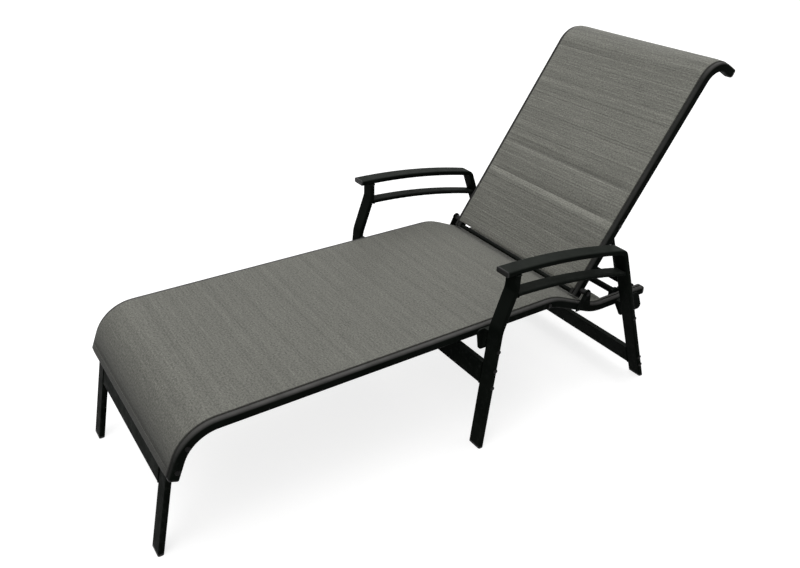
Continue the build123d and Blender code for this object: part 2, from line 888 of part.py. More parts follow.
hinge_bolt = dome_bolt(
    hinge_head_radius, hinge_head_height, hinge_bolt_radius, plate_outside - bolt_end
)
with BuildPart() as hinge_bolts:
    with Locations(
        *[cross_location(sign * plate_outside, *pivot_spot, sign) for side, sign in sides]
    ):
        add(hinge_bolt)
save(hinge_bolts, "hinge_bolts")

hinge_nuts = group([
    cross_ring(
        pivot_spot, sign * bolt_end, sign * hinge_nut_height, hinge_nut_radius,
        hinge_bolt_radius,
    )
    for side, sign in sides
])
save(hinge_nuts, "hinge_nuts")

# Back rails, caps, splines and cross tubes

back_tube_drop = 16.5
back_tube_radius = 6.5
back_tube_wall = 1.5
back_spreader_reach = 470.0
back_spreader_radius = 8.0
top_tube_along = 12.0
top_tube_radius = 8.0
prop_pivot = back_point(prop_reach)

for side, sign in sides:
    x = sign * back_half_width
    route = back_route(x, back_heel)
    with BuildPart() as back_rail:
        with BuildSketch(start_plane(route)):
            rail_profile()
        sweep(path=route)
        cross_holes([(x, *pivot_spot)], hinge_bolt_radius + bolt_clearance, 2 * rail_width)
        cross_holes([(x, *prop_pivot)], bolt_radius + bolt_clearance, 2 * rail_width)
    save(back_rail, "back_rail_" + side)

    spline_path = back_route(x, -hinge_bush_radius)
    with BuildPart() as back_spline:
        with BuildSketch(start_plane(spline_path)):
            with Locations((0, groove_depth - rail_height / 2)):
                Circle(spline_radius)
        sweep(path=spline_path)
    save(back_spline, "back_spline_" + side)

with BuildPart() as back_caps:
    for side, sign in sides:
        route = back_route(sign * back_half_width, back_heel)
        tip = Plane(origin=route @ 1, x_dir=(1, 0, 0), z_dir=route % 1)
        with BuildSketch(tip):
            RectangleRounded(rail_width, rail_height, rail_corner)
        extrude(amount=2 * cap_flange)
        end_face = back_caps.faces(Select.LAST).sort_by(Axis(tip.origin, tip.z_dir))[-1]
        fillet(end_face.edges(), cap_flange)
        with BuildSketch(tip):
            with Locations((0, rail_core_drop)):
                RectangleRounded(
                    rail_core_width - 2 * seat_gap, rail_core_height - 2 * seat_gap,
                    rail_core_corner - seat_gap,
                )
        extrude(amount=-cap_plug)
save(back_caps, "back_rail_caps")


def back_tube(place, radius):
    with BuildPart() as tube:
        with BuildSketch(side_view(-back_inside)):
            with Locations(place):
                Circle(radius)
                Circle(radius - back_tube_wall, mode=Mode.SUBTRACT)
        extrude(amount=2 * back_inside)
    return tube


save(back_tube(back_point(-back_tube_drop), back_tube_radius), "back_bottom_tube")
save(back_tube(back_point(back_spreader_reach), back_spreader_radius), "back_middle_tube")
save(back_tube(scroll_end(top_tube_along), top_tube_radius), "back_top_tube")

# Back sling, with a thicker padded field that two sewn channels cross

pad_start = 40.0
channel_reaches = (205.0, 303.0)
channel_width = 8.0
sling_start = 5.0

back_fabric_route = back_route(0.0, sling_start)
with BuildPart() as back_sling:
    with BuildSketch(start_plane(back_fabric_route)):
        sling_profile(back_half_width, fabric_thickness)
    sweep(path=back_fabric_route)
    with BuildSketch(start_plane(back_fabric_route)):
        hem_profile(back_half_width)
    extrude(amount=hem_depth)
    pad_base = Plane(
        origin=across(back_point(0.0)), x_dir=(1, 0, 0), z_dir=back_dir
    )
    edges_along = (pad_start,) + channel_reaches + (back_straight,)
    for low, high in zip(edges_along[:-1], edges_along[1:]):
        with BuildSketch(pad_base.offset(low + channel_width / 2)):
            with Locations((0, -sling_seat)):
                Rectangle(
                    2 * back_half_width - rail_width, pad_thickness,
                    align=(Align.CENTER, Align.MAX),
                )
        extrude(amount=high - low - channel_width)
save(back_sling, "back_sling")

# Prop: two arms hung from the back rails, joined by a cross bar that lies on the racks

eye_radius = 10.0
eye_half = 6.5
prop_foot = spot(prop_foot_setback, prop_foot_height)
prop_span = hypot(prop_foot[0] - prop_pivot[0], prop_foot[1] - prop_pivot[1])
prop_dir = Vector(
    0, (prop_foot[0] - prop_pivot[0]) / prop_span, (prop_foot[1] - prop_pivot[1]) / prop_span
)
prop_nut_height = 5.0

for side, sign in sides:
    x = sign * prop_half_width
    with BuildPart() as prop_arm:
        with BuildSketch(Plane(origin=across(prop_pivot, x), x_dir=(1, 0, 0), z_dir=prop_dir)):
            Circle(prop_radius)
        extrude(amount=prop_span)
        with BuildSketch(side_view(x)):
            with Locations(prop_pivot):
                Circle(eye_radius)
        extrude(amount=eye_half, both=True)
        with BuildSketch(side_view(x)):
            with Locations(prop_pivot):
                Circle(bolt_radius + bolt_clearance)
        extrude(amount=2 * eye_half, both=True, mode=Mode.SUBTRACT)
        with BuildSketch(side_view(x)):
            with Locations(prop_foot):
                Circle(prop_radius + seat_gap)
        extrude(amount=2 * prop_radius, both=True, mode=Mode.SUBTRACT)
    save(prop_arm, "prop_arm_" + side)

eye_inside = prop_half_width - eye_half - seat_gap
prop_bolt = dome_bolt(
    bolt_head_radius, bolt_head_height, bolt_radius, back_outside - eye_inside + prop_nut_height
)
with BuildPart() as prop_bolts:
    with Locations(
        *[cross_location(sign * back_outside, *prop_pivot, sign) for side, sign in sides]
    ):
        add(prop_bolt)
save(prop_bolts, "prop_bolts")

prop_nuts = group([
    cross_ring(
        prop_pivot, sign * eye_inside, -sign * prop_nut_height, bolt_head_radius, bolt_radius
    )
    for side, sign in sides
])
save(prop_nuts, "prop_nuts")

with BuildPart() as prop_bar:
    with BuildSketch(side_view(-prop_bar_half_length)):
        with Locations(prop_foot):
            Circle(prop_radius)
    extrude(amount=2 * prop_bar_half_length)
    fillet(prop_bar.edges(), prop_radius / 4)
save(prop_bar, "prop_cross_bar")

# Notched racks on the inner faces of the seat rails, under the prop's cross bar

rack_thickness = 8.0
rack_front = 58.0
rack_back = 44.0
rack_depth = 28.0
rack_end_radius = 11.5
tooth_pitch = 25.0
notch_radius = 6.5
notch_lift = 2.5
tooth_clearance = 0.45
rack_fall_share = 0.07
rack_notches = (-2, -1, 0, 1)

for side, sign in sides:
    tooth_top = prop_foot[1] - prop_radius - tooth_clearance
    with BuildPart() as rack:
        with BuildSketch(side_view(sign * rail_inside)) as rack_face:
            with BuildLine():
                Polyline(
                    (prop_foot[0] - rack_front, tooth_top + rack_front * rack_fall_share),
                    (prop_foot[0] + rack_back, tooth_top - rack_back * rack_fall_share),
                    (prop_foot[0] + rack_back, tooth_top - rack_depth),
                    (prop_foot[0] - rack_front, tooth_top - rack_depth), close=True,
                )
            make_face()
            fillet(rack_face.vertices().sort_by(Axis.X)[-2:], rack_end_radius)
            notches = [
                (
                    prop_foot[0] + number * tooth_pitch,
                    tooth_top - number * tooth_pitch * rack_fall_share + notch_lift,
                )
                for number in rack_notches
            ]
            with Locations(*notches):
                Circle(notch_radius, mode=Mode.SUBTRACT)
            with Locations(rear_bar):
                Circle(rear_bar_radius + seat_gap, mode=Mode.SUBTRACT)
        extrude(amount=-sign * rack_thickness)
    save(rack, "notched_rack_" + side)

# Bolts, one shape at each size, as groups of separate solids

rail_bolt = dome_bolt(bolt_head_radius, bolt_head_height, bolt_radius, rail_bolt_length)
foot_bolt_length = rail_outside - foot_leg_outside + tapped_depth - bolt_head_height
long_bolt = dome_bolt(bolt_head_radius, bolt_head_height, bolt_radius, foot_bolt_length)
leg_bolt_length = tube_width + arm_inside - rail_outside - tube_wall
leg_bolt = dome_bolt(bolt_head_radius, bolt_head_height, bolt_radius, leg_bolt_length)

with BuildPart() as rail_bolts:
    for side, sign in sides:
        with Locations(cross_location(sign * rail_outside, *foot_bolt, sign)):
            add(long_bolt)
        places = [
            cross_location(sign * rail_outside, *place, sign) for place in rail_bolt_spots[1:-1]
        ]
        places.append(cross_location(sign * (rail_outside + bracket_plate), *rear_bar, sign))
        with Locations(*places):
            add(rail_bolt)
save(rail_bolts, "rail_bolts")

with BuildPart() as leg_bolts:
    for side, sign in sides:
        places = [
            cross_location(sign * arm_outside, *place, sign)
            for place in mid_leg_bolts + rear_leg_bolts
        ]
        with Locations(*places):
            add(leg_bolt)
save(leg_bolts, "leg_bolts")
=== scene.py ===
import bpy
import json
from math import acos, ceil, cos, exp, pi, radians, sin, sqrt, tan
from mathutils import Matrix, Vector, noise


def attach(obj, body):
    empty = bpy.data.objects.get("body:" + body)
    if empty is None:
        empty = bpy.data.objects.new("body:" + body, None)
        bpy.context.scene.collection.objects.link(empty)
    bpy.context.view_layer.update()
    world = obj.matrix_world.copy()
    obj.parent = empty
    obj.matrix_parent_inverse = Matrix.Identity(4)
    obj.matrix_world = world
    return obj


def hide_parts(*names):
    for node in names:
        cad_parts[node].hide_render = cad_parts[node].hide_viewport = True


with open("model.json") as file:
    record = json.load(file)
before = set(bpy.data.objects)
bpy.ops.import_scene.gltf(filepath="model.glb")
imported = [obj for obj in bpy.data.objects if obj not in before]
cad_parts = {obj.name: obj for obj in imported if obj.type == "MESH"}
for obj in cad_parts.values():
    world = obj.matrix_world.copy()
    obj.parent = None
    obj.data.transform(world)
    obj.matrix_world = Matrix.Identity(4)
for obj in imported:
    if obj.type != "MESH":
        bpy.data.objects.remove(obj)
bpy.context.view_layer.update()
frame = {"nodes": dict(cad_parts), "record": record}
print("frame loaded:", len(frame["nodes"]), "parts")

# Sling chaise lounge in metres: foot end towards -Y, head end towards +Y.
# A setback is measured from the front of the foot legs towards the head end.
footEnd = -0.87855


def spot(setback, height):
    return Vector((setback + footEnd, height))


def turned(v, angle):
    return Vector((v.x * cos(angle) - v.y * sin(angle), v.x * sin(angle) + v.y * cos(angle)))


def smooth(low, high, value):
    t = min(1.0, max(0.0, (value - low) / (high - low)))
    return t * t * (3 - 2 * t)


# Side-view routes of straight runs and tangent arcs, which the slings follow

def lineRun(a, b):
    return {"start": a, "heading": (b - a).normalized(), "length": (b - a).length, "turn": 0.0}


def arcRun(start, heading, radius, turn):
    return {"start": start, "heading": heading, "length": radius * abs(turn), "turn": turn}


def placeOn(route, distance):
    # point and heading at a distance along the route; it runs on straight past both ends
    for run in route:
        if distance <= run["length"] or run is route[-1]:
            break
        distance -= run["length"]
    if not run["turn"]:
        return run["start"] + run["heading"] * distance, run["heading"]
    radius = run["length"] / run["turn"]
    centre = run["start"] + turned(run["heading"], pi / 2) * radius
    angle = distance / radius
    return centre + turned(run["start"] - centre, angle), turned(run["heading"], angle)


def cornerRoute(corners, radii):
    route, start = [], corners[0]
    for i, radius in enumerate(radii):
        before = (corners[i + 1] - corners[i]).normalized()
        after = (corners[i + 2] - corners[i + 1]).normalized()
        turn = acos(max(-1.0, min(1.0, before.dot(after))))
        reach = radius * tan(turn / 2)
        sign = 1 if before.x * after.y - before.y * after.x > 0 else -1
        bendStart = corners[i + 1] - before * reach
        route += [lineRun(start, bendStart), arcRun(bendStart, before, radius, sign * turn)]
        start = corners[i + 1] + after * reach
    return route + [lineRun(start, corners[-1])]


def routeLength(route):
    return sum(run["length"] for run in route)


def onSheet(route, distance, x, rise):
    # a point that stands off the route at a right angle to it
    place, heading = placeOn(route, distance)
    return Vector((x, place.x - heading.y * rise, place.y + heading.x * rise))


def addMesh(name, points, faces, body, material):
    mesh = bpy.data.meshes.new(name)
    mesh.from_pydata([tuple(p) for p in points], [], faces)
    mesh.validate()
    mesh.polygons.foreach_set("use_smooth", [True] * len(mesh.polygons))
    piece = bpy.data.objects.new(name, mesh)
    bpy.context.collection.objects.link(piece)
    piece.data.materials.append(material)
    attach(piece, body)
    return piece


# Materials

usualNoise = (0.3, 0.7)  # most of a noise's values lie between these


def startMaterial(name):
    material = bpy.data.materials.new(name)
    material.use_nodes = True
    tree = material.node_tree
    return material, tree, tree.nodes["Principled BSDF"]


def addNode(tree, kind, **settings):
    node = tree.nodes.new(kind)
    for key, value in settings.items():
        setattr(node, key, value)
    return node


def setInputs(node, **values):
    # From_Min stands for the socket From Min, and so on
    for key, value in values.items():
        node.inputs[key.replace("_", " ")].default_value = value


def ownPlace(tree):
    return addNode(tree, "ShaderNodeTexCoord").outputs["Object"]


def noiseNode(tree, vector, scale=1.0, detail=2.0, rough=0.5):
    node = addNode(tree, "ShaderNodeTexNoise")
    setInputs(node, Scale=scale, Detail=detail, Roughness=rough)
    tree.links.new(vector, node.inputs["Vector"])
    return node.outputs["Fac"]


def mathNode(tree, operation, a, b=None):
    node = addNode(tree, "ShaderNodeMath", operation=operation)
    for index, value in enumerate((a, b)):
        if value is None:
            continue
        if isinstance(value, (int, float)):
            node.inputs[index].default_value = value
        else:
            tree.links.new(value, node.inputs[index])
    return node.outputs[0]


def rangeNode(tree, value, spread, target):
    node = addNode(tree, "ShaderNodeMapRange")
    setInputs(node, From_Min=spread[0], From_Max=spread[1], To_Min=target[0], To_Max=target[1])
    tree.links.new(value, node.inputs["Value"])
    return node.outputs["Result"]


def squeezed(tree, vector, scale):
    node = addNode(tree, "ShaderNodeMapping")
    node.inputs["Scale"].default_value = scale
    tree.links.new(vector, node.inputs["Vector"])
    return node.outputs["Vector"]


def rampNode(tree, value, stops):
    node = addNode(tree, "ShaderNodeValToRGB")
    elements = node.color_ramp.elements
    for element, (place, colour) in zip(elements, (stops[0], stops[-1])):
        element.position = place
        element.color = (*colour, 1.0)
    for place, colour in stops[1:-1]:
        elements.new(place).color = (*colour, 1.0)
    tree.links.new(value, node.inputs["Fac"])
    return node.outputs["Color"]


def laidOver(tree, share, under, colour):
    # a colour Mix takes its two colours at sockets 6 and 7, and gives the result at 2
    node = addNode(tree, "ShaderNodeMix", data_type="RGBA")
    tree.links.new(share, node.inputs[0])
    tree.links.new(under, node.inputs[6])
    node.inputs[7].default_value = (*colour, 1.0)
    return node.outputs[2]


def bumpInto(tree, shader, height, strength, depth):
    bump = addNode(tree, "ShaderNodeBump")
    setInputs(bump, Strength=strength, Distance=depth)
    tree.links.new(height, bump.inputs["Height"])
    tree.links.new(bump.outputs["Normal"], shader.inputs["Normal"])


coat = {
    "darkTo": (0.35, (0.0028, 0.0038, 0.0030)),
    "paleFrom": (0.7, (0.0060, 0.0076, 0.0062)),
    "clouds": {"scale": 9.0, "detail": 3.0},
    "paintedTopSheen": (0.026, 0.029, 0.026),
    "paintedRailHighlight": (0.100, 0.098, 0.095),
    "skyward": (0.25, 1.0),
    "topSheenPatches": {"scale": 22.0, "detail": 4.0, "rough": 0.6},
    "topSheenCover": (0.7, 1.0),
    "wornEdge": (0.026, 0.028, 0.026),
    "sharpness": (0.53, 0.62),
    "scuffs": {"scale": 70.0, "detail": 4.0, "rough": 0.7},
    "scuffSpread": (0.5, 0.75),
    "scuffCover": (0.0, 0.55),
    "gloss": 0.004,
    "roughPatches": {"scale": 34.0, "detail": 3.0},
    "roughness": (0.36, 0.52),
    "peel": {"scale": 620.0, "detail": 1.0},
    "peelStrength": 0.35,
    "peelDepth": 0.00006,
}


def powderCoat(name, paintedSheenColour):
    material, tree, shader = startMaterial(name)
    coords = ownPlace(tree)
    clouds = noiseNode(tree, coords, **coat["clouds"])
    body = rampNode(tree, clouds, [coat["darkTo"], coat["paleFrom"]])
    surface = addNode(tree, "ShaderNodeNewGeometry")

    # painted sheen: faces that look at the sky are made paler in patches, as if lit from above
    facing = addNode(tree, "ShaderNodeSeparateXYZ")
    tree.links.new(surface.outputs["Normal"], facing.inputs[0])
    skyward = rangeNode(tree, facing.outputs[2], coat["skyward"], (0.0, 1.0))
    topSheenPatches = rangeNode(tree, noiseNode(tree, coords, **coat["topSheenPatches"]), usualNoise, coat["topSheenCover"])
    body = laidOver(tree, mathNode(tree, "MULTIPLY", skyward, topSheenPatches), body, paintedSheenColour)

    # the coat is rubbed pale here and there along its edges
    edge = rangeNode(tree, surface.outputs["Pointiness"], coat["sharpness"], (0.0, 1.0))
    scuffs = noiseNode(tree, coords, **coat["scuffs"])
    scuffs = rangeNode(tree, scuffs, coat["scuffSpread"], coat["scuffCover"])
    body = laidOver(tree, mathNode(tree, "MULTIPLY", edge, scuffs), body, coat["wornEdge"])
    tree.links.new(body, shader.inputs["Base Color"])

    patches = noiseNode(tree, coords, **coat["roughPatches"])
    rough = rangeNode(tree, patches, usualNoise, coat["roughness"])
    tree.links.new(rough, shader.inputs["Roughness"])
    setInputs(shader, Specular_IOR_Level=coat["gloss"])
    peel = noiseNode(tree, coords, **coat["peel"])
    bumpInto(tree, shader, peel, coat["peelStrength"], coat["peelDepth"])
    return material


grooveHalf = {"seat": 0.290, "back": 0.270}  # from the middle of the width to a rail's groove

cloth = {
    "thread": (0.158, 0.158, 0.139),
    "pitch": 0.0016,
    "holes": (0.1, 0.8),
    "holeShade": (0.55, 1.02),
    "yarnSpread": (0.32, 0.68),
    "cloudShade": (0.965, 1.035),
    "rampLength": 2.0,
    "rampTop": 2.0,
    "grooveFrom": 0.0030,
    "grooveTo": 0.0008,
    "grooveShade": 0.22,
    "roughness": 0.82,
    "gloss": 0.25,
    "sheen": 0.06,
    "sheenRoughness": 0.5,
    "weaveHeight": 0.5,
    "bumpStrength": 0.5,
    "bumpDepth": 0.0003,
}
# yarns of the weft run the whole width, and slubs are thick places a few centimetres long;
# across and along say how fast each changes, and the lines take their across from the sling
yarns = {
    "bands": {"across": 0.3, "along": 46.0, "detail": 2.0, "rough": 0.55},
    "lines": {"along": 235.0, "detail": 2.0, "rough": 0.6},
    "slubs": {"across": 15.0, "along": 560.0, "detail": 2.0, "rough": 0.6},
    "grain": {"across": 190.0, "along": 215.0, "detail": 3.0, "rough": 0.75},
    "cloud": {"across": 4.0, "along": 4.0, "detail": 3.0, "rough": 0.5},
}
# how strongly each kind of yarn shows; level is a painted light that makes the back's cloth paler than
# the seat's, and along gives the painted light and shade along the cloth's length in metres
seatWeave = {
    "bands": 0.18, "lines": 0.12, "slubs": 0.26, "grain": 0.84, "lineReach": 1.6, "level": 0.97,
    "groove": grooveHalf["seat"],
    "along": [
        (0.0, 0.18), (0.024, 0.28), (0.060, 0.66), (0.115, 0.99), (0.146, 1.02), (0.155, 1.15),
        (0.1615, 1.10), (0.1652, 0.86), (0.170, 1.02), (0.90, 1.01), (1.15, 1.06), (2.0, 1.06),
    ],
}
backWeave = {
    "bands": 0.23, "lines": 0.44, "slubs": 0.34, "grain": 0.78, "lineReach": 1.1, "level": 1.14,
    "groove": grooveHalf["back"],
    "along": [
        (0.0, 0.93), (0.100, 0.96), (0.155, 0.90), (0.188, 0.98), (0.2085, 1.34), (0.2145, 1.02),
        (0.2200, 0.93), (0.250, 1.03), (0.288, 1.04), (0.3065, 1.16), (0.3125, 1.02), (0.3180, 0.99),
        (0.350, 1.08), (0.600, 1.08), (0.720, 1.0), (2.0, 1.0),
    ],
}


def slingCloth(name, look):
    material, tree, shader = startMaterial(name)
    uv = addNode(tree, "ShaderNodeUVMap", uv_map="cut").outputs["UV"]
    split = addNode(tree, "ShaderNodeSeparateXYZ")
    tree.links.new(uv, split.inputs[0])
    across, along = split.outputs[0], split.outputs[1]

    seen = {}
    for kind, yarn in yarns.items():
        scale = (yarn.get("across", look["lineReach"]), yarn["along"], 1.0)
        seen[kind] = noiseNode(tree, squeezed(tree, uv, scale), 1.0, yarn["detail"], yarn["rough"])
    tone = rangeNode(tree, seen["cloud"], usualNoise, cloth["cloudShade"])
    for kind in ("bands", "lines", "slubs", "grain"):
        spread = look[kind] / 2
        shade = rangeNode(tree, seen[kind], cloth["yarnSpread"], (1.0 - spread, 1.0 + spread))
        tone = mathNode(tree, "MULTIPLY", tone, shade)

    # the weave's small holes
    turns = [
        mathNode(tree, "SINE", mathNode(tree, "MULTIPLY", part, 2 * pi / cloth["pitch"]))
        for part in (across, along)
    ]
    weave = mathNode(tree, "MULTIPLY", *turns)
    ridge = mathNode(tree, "MAXIMUM", *(mathNode(tree, "ABSOLUTE", part) for part in turns))
    holes = rangeNode(tree, ridge, cloth["holes"], cloth["holeShade"])
    tone = mathNode(tree, "MULTIPLY", tone, holes)

    # painted light and shade along the cloth: painted shade over the seat's foot curve and the back's
    # lower part, painted highlights and shade where the foot curve meets the seat and at the sewn
    # channels, and a paler far seat and upper back; a ramp's colours end at 1, so it holds a share of
    # its top value
    share = mathNode(tree, "DIVIDE", along, cloth["rampLength"])
    stops = [
        (place / cloth["rampLength"], (level / cloth["rampTop"],) * 3)
        for place, level in look["along"]
    ]
    paintedLightAndShade = mathNode(tree, "MULTIPLY", rampNode(tree, share, stops), cloth["rampTop"])
    tone = mathNode(tree, "MULTIPLY", tone, paintedLightAndShade)

    # painted shade where the edge goes down into the rail groove
    sideways = mathNode(tree, "ABSOLUTE", across)
    reach = (look["groove"] - cloth["grooveFrom"], look["groove"] - cloth["grooveTo"])
    edge = rangeNode(tree, sideways, reach, (1.0, cloth["grooveShade"]))
    tone = mathNode(tree, "MULTIPLY", tone, edge)

    grey = addNode(tree, "ShaderNodeCombineColor")
    for index in range(3):
        tree.links.new(tone, grey.inputs[index])
    colour = addNode(tree, "ShaderNodeMix", data_type="RGBA", blend_type="MULTIPLY")
    colour.inputs[0].default_value = 1.0
    # level is painted light: it makes the back's cloth paler than the seat's
    colour.inputs[6].default_value = (*(part * look["level"] for part in cloth["thread"]), 1.0)
    tree.links.new(grey.outputs[0], colour.inputs[7])
    tree.links.new(colour.outputs[2], shader.inputs["Base Color"])
    setInputs(
        shader, Roughness=cloth["roughness"], Specular_IOR_Level=cloth["gloss"],
        Sheen_Weight=cloth["sheen"], Sheen_Roughness=cloth["sheenRoughness"],
    )
    raised = mathNode(tree, "MULTIPLY", weave, cloth["weaveHeight"])
    height = mathNode(tree, "ADD", raised, seen["lines"])
    bumpInto(tree, shader, height, cloth["bumpStrength"], cloth["bumpDepth"])
    return material


plastic = {
    "stops": [
        (0.3, (0.004, 0.004, 0.004)), (0.62, (0.010, 0.010, 0.0098)), (0.9, (0.03, 0.03, 0.029)),
    ],
    "scuffs": {"scale": 55.0, "detail": 4.0, "rough": 0.65},
    "scuffSpread": (0.3, 0.8),
    "roughness": (0.42, 0.66),
    "gloss": 0.2,
    "pits": {"scale": 1500.0, "detail": 1.0},
    "pitStrength": 0.3,
    "pitDepth": 0.00005,
}


def darkPlastic():
    material, tree, shader = startMaterial("blackMouldedPlastic")
    coords = ownPlace(tree)
    scuffs = noiseNode(tree, coords, **plastic["scuffs"])
    tree.links.new(rampNode(tree, scuffs, plastic["stops"]), shader.inputs["Base Color"])
    rough = rangeNode(tree, scuffs, plastic["scuffSpread"], plastic["roughness"])
    tree.links.new(rough, shader.inputs["Roughness"])
    setInputs(shader, Specular_IOR_Level=plastic["gloss"])
    pits = noiseNode(tree, coords, **plastic["pits"])
    bumpInto(tree, shader, pits, plastic["pitStrength"], plastic["pitDepth"])
    return material


steel = {
    "stops": [(0.25, (0.004, 0.004, 0.004)), (0.75, (0.013, 0.013, 0.0125))],
    "brushing": (140.0, 1400.0, 1400.0),
    "brushNoise": {"detail": 3.0, "rough": 0.6},
    "roughness": (0.28, 0.44),
    "metallic": 0.15,
    "gloss": 0.05,
    "brushStrength": 0.2,
    "brushDepth": 0.00004,
}


def boltMetal():
    material, tree, shader = startMaterial("blackenedSteel")
    brushed = noiseNode(tree, squeezed(tree, ownPlace(tree), steel["brushing"]), **steel["brushNoise"])
    tree.links.new(rampNode(tree, brushed, steel["stops"]), shader.inputs["Base Color"])
    rough = rangeNode(tree, brushed, usualNoise, steel["roughness"])
    tree.links.new(rough, shader.inputs["Roughness"])
    setInputs(shader, Metallic=steel["metallic"], Specular_IOR_Level=steel["gloss"])
    bumpInto(tree, shader, brushed, steel["brushStrength"], steel["brushDepth"])
    return material


sewingThread = {
    "stops": [(0.3, (0.075, 0.074, 0.066)), (0.7, (0.13, 0.128, 0.115))],
    "twist": (900.0, 250.0, 250.0),
    "roughness": 0.6,
    "twistStrength": 0.4,
    "twistDepth": 0.0001,
}


def threadMaterial():
    material, tree, shader = startMaterial("stitchThread")
    twist = noiseNode(tree, squeezed(tree, ownPlace(tree), sewingThread["twist"]))
    tree.links.new(rampNode(tree, twist, sewingThread["stops"]), shader.inputs["Base Color"])
    setInputs(shader, Roughness=sewingThread["roughness"])
    bumpInto(tree, shader, twist, sewingThread["twistStrength"], sewingThread["twistDepth"])
    return material


coatMaterial = powderCoat("blackPowderCoat", coat["paintedTopSheen"])
# the sling rails get a second copy of the coat, whose up-facing crowns carry a brighter painted
# highlight
railHighlightMaterial = powderCoat("blackRailCoatPaintedHighlight", coat["paintedRailHighlight"])
seatCloth = slingCloth("seatSlingCloth", seatWeave)
backCloth = slingCloth("backSlingCloth", backWeave)
plasticMaterial = darkPlastic()
boltMaterial = boltMetal()
stitchMaterial = threadMaterial()
print("materials made")

# Every part that stays from the frame gets the finish of what it is made of

finishes = {
    "frame_tube": coatMaterial,
    "black_plastic": plasticMaterial,
    "bolt_steel": boltMaterial,
    "sling_fabric": seatCloth,
}
# the sling rails take the coat with the painted highlight on their crowns
slingRails = [rail + "_" + side for rail in ("seat_rail", "back_rail") for side in ("left", "right")]
slotOf = {entry["node"]: entry["material_slot"] for entry in frame["record"]["subparts"]}
for nodeName, part in frame["nodes"].items():
    finish = railHighlightMaterial if nodeName in slingRails else finishes[slotOf[nodeName]]
    if not part.material_slots:
        part.data.materials.append(finish)
    for slotEntry in part.material_slots:
        slotEntry.material = finish
print("frame parts finished")

# Slings: a sheet over two rails, whose edges go down as tongues into the rail grooves.
# Heights stand over the rail's axis, and insets are measured in from the groove.

slingForm = {
    "tongueHalf": 0.0011,
    "tongueFoot": 0.0108,
    "under": 0.0134,
    "over": 0.0157,
    "underDrop": 0.0003,
    "shoulderShare": 0.5,
    "shoulderDrop": 0.0009,
    "browInset": 0.0012,
    "browDrop": 0.0002,
    "innerInset": 0.003,  # what lies further in sags, fills and takes folds
    "columnInset": 0.0045,
    "fullInset": 0.004,  # from here to fullWidth further in, the cloth comes to its full height
    "fullWidth": 0.018,
    "endMarks": (0.0, 0.0004, 0.001, 0.002),
    "leastStep": 0.00025,
    "noseLength": 0.002,
    "hem": 0.022,
    "hemMark": 0.0016,
    "hemSoft": 0.0014,
    "rippleAcross": 3.0,
    "rippleAlong": 5.0,
}
# A sewn channel, in which the cloth is pulled in
channelForm = {
    "marks": (-9, -7, -5, -3.5, -2, -1, 0, 1, 2, 4, 6, 9, 12, 16),  # rows of points, in millimetres
    "depth": 0.0056,
    "soft": 0.0015,
    "above": 0.013,
    "below": 0.009,
    "endInset": 0.012,
    "endFade": 0.05,
    "undersideShare": 0.8,
    "pucker": 0.22,
    "puckerAcross": 60.0,
    "puckerAlong": 10.0,
}


def slingColumns(sling):
    half, tongue = sling["grooveX"], sling["tongueHalf"]
    under, over = sling["under"], sling["over"]
    edge = [
        (half + tongue, sling["tongueFoot"]),
        (half + tongue, under),
        (half + tongue * sling["shoulderShare"], over - sling["shoulderDrop"]),
        (half - sling["browInset"], over - sling["browDrop"]),
    ]
    inner = half - sling["columnInset"]
    count = sling["columns"]
    spaced = [-inner + 2 * inner * i / count for i in range(count + 1)]
    tops = [(-x, rise) for x, rise in edge] + [(x, over) for x in spaced] + edge[::-1]
    lowEdge = [(half - tongue, sling["tongueFoot"]), (half - tongue, under - sling["underDrop"])]
    lows = lowEdge + [(x, under) for x in reversed(spaced)]
    lows += [(-x, rise) for x, rise in reversed(lowEdge)]
    return tops, lows


def slingStations(sling, length):
    # distances of the rows of points, closer together at the ends, hems and channels
    hem, step = sling["hem"], sling["hemMark"]
    marks = {*sling["endMarks"], hem - step, hem, hem + step}
    marks |= {length - mark for mark in marks}
    count = ceil(length / sling["step"])
    marks |= {length * i / count for i in range(count + 1)}
    for reach in sling["channels"]:
        marks |= {reach + offset * 0.001 for offset in channelForm["marks"]}
    kept = []
    for mark in sorted(marks):
        if 0.0 <= mark <= length and (not kept or mark - kept[-1] > sling["leastStep"]):
            kept.append(mark)
    kept[-1] = length
    return kept


def channelDip(sling, distance, x):
    # pulled in sharply at a sewn line, more steeply below it, and flatter near the rails
    dip = 0.0
    inset = sling["grooveX"] - channelForm["endInset"] - abs(x)
    fade = smooth(0.0, channelForm["endFade"], inset)
    for reach in sling["channels"]:
        away = distance - reach
        width = channelForm["above"] if away > 0 else channelForm["below"]
        place = Vector((x * channelForm["puckerAcross"], reach * channelForm["puckerAlong"], 0.0))
        pucker = 1.0 + channelForm["pucker"] * noise.noise(place)
        near = sqrt(away ** 2 + channelForm["soft"] ** 2) - channelForm["soft"]
        dip += channelForm["depth"] * pucker * exp(-near / width)
    return dip * fade


def sagAt(sling, nearEnd, x):
    # the sheet hangs between the rails, but not over the bars at its ends
    crown = smooth(0.0, sling["fullAfter"], nearEnd)
    return -sling["sag"] * max(0.0, 1.0 - (x / sling["grooveX"]) ** 2) * crown


def bodyAt(sling, x):
    inset = sling["grooveX"] - sling["fullInset"] - abs(x)
    return smooth(0.0, sling["fullWidth"], inset)


def topLift(sling, distance, nearEnd, x):
    # what the top face stands over its flat height, apart from its ripples
    crown = smooth(0.0, sling["fullAfter"], nearEnd)
    hem = 1.0 - smooth(sling["hem"] - sling["hemSoft"], sling["hem"] + sling["hemSoft"], nearEnd)
    body = bodyAt(sling, x)
    lift = sagAt(sling, nearEnd, x)
    lift += sling["hemRise"] * hem * body + sling["fill"] * crown * body
    return lift - channelDip(sling, distance, x)


